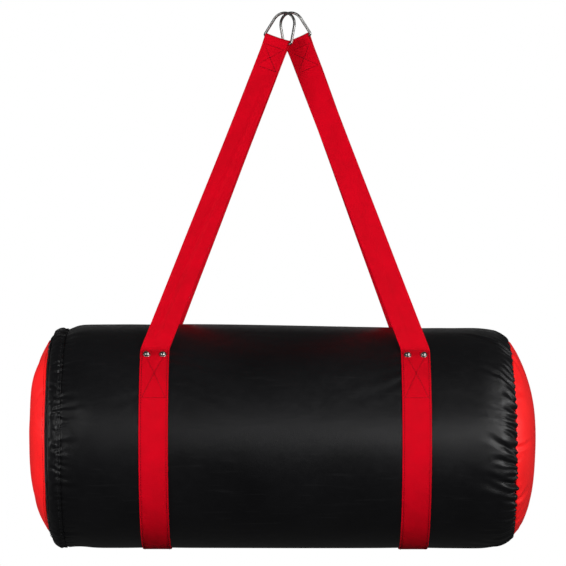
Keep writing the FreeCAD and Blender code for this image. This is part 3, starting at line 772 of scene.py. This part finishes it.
def sling_frame(name):
    """The sling's stations, with their outward normals and their length along the sling."""
    middle, half = sling_stations(name)
    normal = np.cross(half, np.roll(middle, -1, 0) - np.roll(middle, 1, 0))
    normal /= np.linalg.norm(normal, axis=1)[:, None]
    length = np.concatenate([[0], np.cumsum(np.linalg.norm(np.diff(middle, axis=0), axis=1))])
    sample = len(middle) // 6  # a station that lies on the bag
    if normal[sample] @ (middle[sample] - np.array([middle[sample][0], 0, AXIS_Z])) < 0:
        normal = -normal
    return {"middle": middle, "half": half, "normal": normal, "length": length}


def on_sling(sling, length, across, lift):
    """A point and its normal: across from -1 to 1, lifted off the webbing's middle."""
    length = length % sling["length"][-1]
    middle, half, normal = (
        np.array([np.interp(length, sling["length"], sling[key][:, k]) for k in range(3)])
        for key in ("middle", "half", "normal")
    )
    return middle + half * across + unit(normal) * lift, unit(normal)


def sling_length_at(sling, point):
    """Length along the sling of the station nearest to a point."""
    return float(sling["length"][np.argmin(np.linalg.norm(sling["middle"] - point, axis=1))])


def make_sling(name):
    """One length of webbing, from its ring down, round the underside and up again."""
    sling = sling_frame(name)
    across = np.linspace(-1, 1, 34)
    side = across[None, :]
    length = sling["length"][:, None]
    total = sling["length"][-1]
    foot = girth_length(sling)
    on_girth = smooth(-0.002, 0.004, length) * smooth(-foot, -foot + 0.004, -length)
    stitched = hump(np.abs(side), EDGE_STITCH, 0.035) * on_girth
    ripple = 0.10 * MM * np.sin(length / (5 * MM) * 2 * math.pi) * stitched
    sunk = -0.40 * MM * stitched + ripple
    selvage = -0.35 * MM * np.clip((np.abs(side) - 0.95) / 0.05, 0, 1) ** 2
    wander = 0.5 * MM * np.sin(length * 21 + 1.3) * side * (1 - on_girth)
    cup = 0.9 * MM * (side**2 - 0.4) * (1 - on_girth) * smooth(0, 0.1, length - foot)
    down_front = smooth(0.56, 0.62, (length - foot) / (total - foot)) * (1 - on_girth)
    down_front = down_front * smooth(0, 0.05, total - length)
    crest = hump(side, 0.15 + 0.4 * np.sin(length * 5), 0.17) - 0.3
    fold = (1.5 if name == "left" else 0.4) * MM * crest * down_front
    shape = wander + cup + fold
    middle, half, normal = (sling[k][:, None, :] for k in ("middle", "half", "normal"))
    flat = middle + half * side[..., None]
    outer = flat + normal * (WEBBING / 2 + sunk + selvage + shape)[..., None]
    inner = flat + normal * (-WEBBING / 2 - selvage + shape)[..., None]
    ring = np.concatenate([outer, inner[:, ::-1]], axis=1)
    rows, around = ring.shape[:2]
    faces = grid_faces(rows, around, closed_rows=True)
    place = np.concatenate([across, across[::-1] + 0.05]) * STRAP_HALF + STRAP_HALF
    uvs = np.stack(np.broadcast_arrays(place[None, :], length), -1).reshape(-1, 2)
    piece = face_outward(mesh_object(f"sling_{name}", ring.reshape(-1, 3), faces, uvs))
    nodes = [f"girth_strap_{name}", f"strap_head_{name}", f"hanger_{name}_front", f"hanger_{name}_back"]
    dress(piece, RED_WEBBING, replaces=nodes)
    return sling


def girth_length(sling):
    """Length of the part that lies on the bag, from the front foot at 0 to the back one."""
    return float(sling["length"][GIRTH_STATIONS - 1])


# ---------------------------------------------------------------- stitching
def stitch(start, end, normal):
    """Vertices and faces of one thread stitch that arches out of the cloth and back into it."""
    along = end - start
    side = unit(np.cross(along, normal))
    rows, around = 5, 6
    t = np.linspace(0, 1, rows)
    rise = (np.sin(t * math.pi) * 0.55 - 0.25) * THREAD * 1.6
    girth = np.array([0.45, 0.95, 1.0, 0.95, 0.45]) * THREAD
    turn = np.linspace(0, 2 * math.pi, around, endpoint=False)[:, None]
    centre = start + along * t[:, None] + normal * rise[:, None]
    circle = side * np.cos(turn) + normal * np.sin(turn)
    points = (centre[:, None] + circle[None] * girth[:, None, None]).reshape(-1, 3)
    faces = grid_faces(rows, around)
    faces.append(list(range(around))[::-1])
    faces.append([(rows - 1) * around + k for k in range(around)])
    return points, faces


def stitches(name, runs, material, pitch=4.6 * MM):
    """Stitches along each run: a function of 0 to 1 that gives a point and its normal, and a length."""
    points, faces, first = [], [], 0
    margin = STITCH_GAP / pitch / 2
    for place, length in runs:
        count = max(1, int(length / pitch))
        for number in range(count):
            start, normal = place((number + margin) / count)
            end, _ = place((number + 1 - margin) / count)
            thread, thread_faces = stitch(start, end, normal)
            points.append(thread)
            faces += [[v + first for v in face] for face in thread_faces]
            first += len(thread)
    return dress(mesh_object(name, np.concatenate(points), faces), material)


def sling_line(sling, start, end):
    """A straight run on the sling's outer face, from one (length, across) to another."""
    start, end = np.array(start), np.array(end)

    def place(t):
        where = start + (end - start) * t
        return on_sling(sling, where[0], where[1], WEBBING / 2)

    length = math.hypot(end[0] - start[0], (end[1] - start[1]) * STRAP_HALF)
    return place, length


def make_sling_stitching(name, sling):
    """Edge lines on the girth, a crossed box under each rivet pair, and one on each face of the head."""
    girth = girth_length(sling)
    runs = [sling_line(sling, (4 * MM, a), (girth - 4 * MM, a)) for a in (-EDGE_STITCH, EDGE_STITCH)]
    box = (FOOT - BOX_END) * RADIUS
    under_rivets = (FOOT - RIVET_ANGLE) * RADIUS + 7 * MM
    for foot, way in ((0, 1), (girth, -1)):
        low, high, top = foot + way * box, foot + way * under_rivets, foot + way * 4 * MM
        runs.append(sling_line(sling, (top, -0.84), (top, 0.84)))
        runs.append(sling_line(sling, (low, -0.84), (low, 0.84)))
        runs.append(sling_line(sling, (high, -0.6), (low, 0.8)))
        runs.append(sling_line(sling, (high, 0.6), (low, -0.8)))
    pivot, _, up, front = ring_frame(name)
    for facing in (1, -1):
        face = front * facing * WEBBING / 2
        low = sling_length_at(sling, pivot - up * (HEAD_LENGTH - 2 * MM) + face)
        high = sling_length_at(sling, pivot - up * (NECK + 1 * MM) + face)
        runs.append(sling_line(sling, (high, -0.92), (high, 0.92)))
        runs.append(sling_line(sling, (low, -0.92), (low, 0.92)))
        runs.append(sling_line(sling, (high, -0.88), (low, 0.88)))
        runs.append(sling_line(sling, (high, 0.88), (low, -0.88)))
    stitches(f"sling_stitching_{name}", runs, RED_THREAD)


def ring_run(s, lift):
    """A run round the bag at one length along its outline."""
    angle = np.linspace(0, 2 * math.pi, 720)[None, :]
    points = ring_points(np.array([[s]]), angle, lift(np.array([[s]]), angle))[0]
    nx, nr = float(on_outline(s, "nx")), float(on_outline(s, "nr"))

    def place(t):
        turn = 2 * math.pi * t
        point = np.array([np.interp(turn, angle[0], points[:, k]) for k in range(3)])
        return point, unit(np.array([nx, -nr * math.cos(turn), nr * math.sin(turn)]))

    return place, float(on_outline(s, "r")) * 2 * math.pi


def make_panel_stitching(facing_lift, left_lift):
    """The facing's sewn line, and the top-stitch beside the left end's seam."""
    run = ring_run(LEFT_SEAM_S - 3 * MM, facing_lift)
    stitches("facing_stitching", [run], BLACK_THREAD, pitch=5 * MM)
    run = ring_run(left_s(CAP_LEFT_EDGE) - 3.5 * MM, left_lift)
    stitches("end_stitching_left", [run], RED_THREAD, pitch=5 * MM)


# ---------------------------------------------------------------- back seam strip
def make_back_strip(skin_lift):
    """The narrow strip over the skin's lengthwise seam, low on the back."""
    low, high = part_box("back_seam_strip")
    solid = np.array([v.co for v in frame["nodes"]["back_seam_strip"].data.vertices]).mean(0)
    centre_angle = math.atan2(solid[2] - AXIS_Z, -solid[1])
    half = 12 * MM / RADIUS
    stitched = 0.72  # the stitch lines, as a share of the half width
    columns = 17
    x = np.linspace(low.x, high.x, 170)[:, None]
    angle = np.linspace(centre_angle - half, centre_angle + half, columns)[None, :]
    s = np.interp(x, OUTLINE["x"], OUTLINE["s"])
    edge = np.abs(np.linspace(-1, 1, columns))[None, :]
    puff = 0.5 * MM * (1 - edge**6) - 0.35 * MM * hump(edge, stitched, 0.1)
    ripple = 0.25 * MM * np.sin(x * 240 + 3 * edge) * hump(edge, stitched, 0.3)
    lift = skin_lift(s, angle)
    outer = ring_points(s + 0 * angle, angle + 0 * s, lift + 1.7 * MM + puff + ripple)
    inner = ring_points(s + 0 * angle, angle + 0 * s, lift + 0.2 * MM)
    ring = np.concatenate([outer, inner[:, ::-1]], axis=1)
    rows, around = ring.shape[:2]
    faces = grid_faces(rows, around)
    faces.append(list(range(around)))
    faces.append([(rows - 1) * around + k for k in range(around)][::-1])
    piece = face_outward(mesh_object("back_strip", ring.reshape(-1, 3), faces))
    dress(piece, BLACK_VINYL, replaces=["back_seam_strip"])
    runs = []
    for side in (-stitched, stitched):
        turn = centre_angle + side * half
        seam = np.array([[turn]])
        line = ring_points(s, seam, skin_lift(s, seam) + 1.95 * MM)[:, 0]
        out = np.array([0, -math.cos(turn), math.sin(turn)])

        def place(t, line=line, out=out):
            along = (0.01 + 0.98 * t) * (len(line) - 1)
            return np.array([np.interp(along, np.arange(len(line)), line[:, k]) for k in range(3)]), out

        runs.append((place, high.x - low.x))
    stitches("back_strip_stitching", runs, BLACK_THREAD, pitch=5 * MM)


# ---------------------------------------------------------------- rivets
def make_rivets():
    """Domed caps with a rolled rim, pressed a little into the webbing."""
    profile_r = np.array([1.6, 3.1, 4.4, 5.4, 6.0, 6.3, 6.45, 6.7, 6.85, 6.7, 6.3]) * MM
    profile_h = np.array([5.75, 5.2, 4.3, 3.2, 2.1, 1.2, 0.95, 0.8, 0.35, -0.05, -0.5]) * MM
    top = 5.9 * MM
    rows, around = len(profile_r), 40
    turn = np.linspace(0, 2 * math.pi, around, endpoint=False)[:, None]
    side = np.array([1.0, 0, 0])
    cap = grid_faces(rows, around)
    cap += [[rows * around, k, (k + 1) % around] for k in range(around)]
    cap.append([(rows - 1) * around + k for k in range(around)][::-1])
    for name in SIDES:
        points, faces, first = [], [], 0
        for angle in (RIVET_ANGLE, math.pi - RIVET_ANGLE):
            for offset in (-RIVET_SPREAD / 2, RIVET_SPREAD / 2):
                base = surface_point(STRAP_X[name] + offset, np.array([angle]), WEBBING + 0.1 * MM)[0]
                out = np.array([0, -math.cos(angle), math.sin(angle)])
                spin = side * np.cos(turn) + np.cross(out, side) * np.sin(turn)
                rings = base + out * profile_h[:, None, None] + spin * profile_r[:, None, None]
                block = np.concatenate([rings.reshape(-1, 3), [base + out * top]])
                faces += [[v + first for v in face] for face in cap]
                first += len(block)
                points.append(block)
        piece = face_outward(mesh_object(f"rivets_{name}", np.concatenate(points), faces))
        dress(piece, NICKEL, replaces=[f"rivet_caps_{name}"])


# ---------------------------------------------------------------- CAD nodes that stay
def finish_cad_nodes():
    kept = {
        "d_ring_left": RING_STEEL,
        "d_ring_right": RING_STEEL,
        "zip_slider": ZIP_METAL,
        "zip_pull": ZIP_METAL,
        "zip_stops": ZIP_METAL,
        "rivet_bases_left": NICKEL,
        "rivet_bases_right": NICKEL,
        "backing_patches_left": PATCH_CLOTH,
        "backing_patches_right": PATCH_CLOTH,
    }
    for name, material in kept.items():
        data = frame["nodes"][name].data
        data.materials.clear()
        data.materials.append(material)


# ---------------------------------------------------------------- studio
def area_light(name, place, target, size, power, glossy=True):
    """A soft rectangle of light; without glossy it only fills, and leaves no highlight."""
    data = bpy.data.lights.new(name, "AREA")
    data.shape = "RECTANGLE"
    data.size, data.size_y = size
    data.energy = power
    lamp = bpy.data.objects.new(name, data)
    lamp.location = place
    lamp.visible_camera = False
    lamp.visible_glossy = glossy
    lamp.rotation_euler = (Vector(target) - Vector(place)).to_track_quat("-Z", "Y").to_euler()
    bpy.context.scene.collection.objects.link(lamp)


def make_room_tone():
    """White behind the bag for the camera, and little light from it for anything else."""
    world = bpy.data.worlds.new("studio")
    world.use_nodes = True
    bpy.context.scene.world = world
    tree = world.node_tree
    tree.nodes.clear()
    white = (1, 1, 1, 1)
    seen = node(tree, "ShaderNodeBackground", {"Color": white, "Strength": 1.0}).outputs[0]
    tone = node(tree, "ShaderNodeBackground", {"Color": white, "Strength": 0.05}).outputs[0]
    is_camera = node(tree, "ShaderNodeLightPath").outputs["Is Camera Ray"]
    mix = node(tree, "ShaderNodeMixShader", {0: is_camera, 1: tone, 2: seen}).outputs[0]
    node(tree, "ShaderNodeOutputWorld", {"Surface": mix})


def make_lamps():
    """Long soft lights in front at the bag's height, others for its ends, gathers and back, and fills."""
    z = AXIS_Z
    bag = (0, 0, z)
    right, left, middle = (0.4, 0, z), (-0.4, 0, z), (0, 0, -0.5)
    area_light("front_right", (0.95, -4.2, z + 0.42), (0.3, 0, z), (0.85, 0.5), 11)
    area_light("front_left", (-0.62, -4.2, z - 0.03), (-0.3, 0, z), (0.4, 0.4), 0.3)
    area_light("gathers", (3.0, -3.3, z + 0.6), right, (2.2, 1.9), 62)
    area_light("gathers_high", (2.6, -2.2, z + 2.9), right, (1.8, 1.3), 26)
    area_light("puckers", (-2.8, -3.4, z + 0.9), left, (1.3, 1.8), 20)
    area_light("high", (-1.6, -3.8, 0.5), (0, 0, -0.1), (1.0, 0.5), 3.5)
    area_light("rim", (0, 4.0, 0.9), bag, (2.6, 0.5), 1.5)
    area_light("back_band", (-0.5, 4.2, z + 0.05), bag, (0.9, 0.45), 8)
    area_light("side_band_left", (-4.2, 0.4, z + 0.3), bag, (0.7, 0.9), 9)
    area_light("side_band_right", (4.2, 0.4, z + 0.3), bag, (0.7, 0.9), 9)
    area_light("fill_front", (0.6, -4.6, -0.1), (0, 0, -0.6), (2.6, 2.0), 158, glossy=False)
    area_light("fill_left", (-3.8, -1.6, -0.4), bag, (1.6, 1.8), 152, glossy=False)
    area_light("fill_right", (3.8, -1.2, -0.4), bag, (1.6, 1.8), 44, glossy=False)
    area_light("fill_back", (0, 4.6, 0.4), middle, (3.0, 2.0), 165, glossy=False)


def make_floor():
    """A plain pale floor a metre below the bag that fades to white with distance."""
    material, tree, shader = new_material("floor", (0.12, 0.12, 0.12), 0.8)
    reach = node(tree, "ShaderNodeVectorMath", {0: object_place(tree)}, operation="LENGTH")
    fade = {"Value": reach.outputs["Value"], "From Min": 1.5, "From Max": 7.5}
    outward = node(tree, "ShaderNodeMapRange", fade).outputs["Result"]
    pale = ramp(tree, outward, [(0.0, (0.70, 0.70, 0.695)), (1.0, (1, 1, 1))])
    tree.links.new(pale, shader.inputs["Emission Color"])
    shader.inputs["Emission Strength"].default_value = 0.93
    turn = np.linspace(0, 2 * math.pi, 96, endpoint=False)
    points = np.stack([9 * np.cos(turn), 9 * np.sin(turn), 0 * turn], -1)
    floor = mesh_object("floor", points, [list(range(96))], flat=True)
    floor.location.z = cad_box[0].z - 1.0
    floor.visible_glossy = False
    floor.visible_diffuse = False
    floor.data.materials.append(material)


def make_camera():
    """Level, far off and long, with the object's middle in the middle of the picture."""
    distance = 5.4
    picture_width = 1.002
    data = bpy.data.cameras.new("camera")
    data.sensor_width = 36
    data.lens = data.sensor_width * distance / picture_width
    data.clip_end = 60
    camera = bpy.data.objects.new("camera", data)
    camera.location = (-8 * MM, -distance, -474 * MM)
    camera.rotation_euler = (math.pi / 2, 0, 0)
    bpy.context.scene.collection.objects.link(camera)
    bpy.context.scene.camera = camera
    bpy.context.scene.view_settings.view_transform = "Standard"


make_camera()
make_room_tone()
make_lamps()
make_floor()
finish_cad_nodes()
skin_lift = make_skin()
facing_lift = make_facing(skin_lift)
left_lift = make_end_panel("left")
make_end_panel("right")
make_insides()
make_zip_tapes()
make_zip_coils()
for sling_name in SIDES:
    made_sling = make_sling(sling_name)
    make_sling_stitching(sling_name, made_sling)
make_panel_stitching(facing_lift, left_lift)
make_back_strip(skin_lift)
make_rivets()
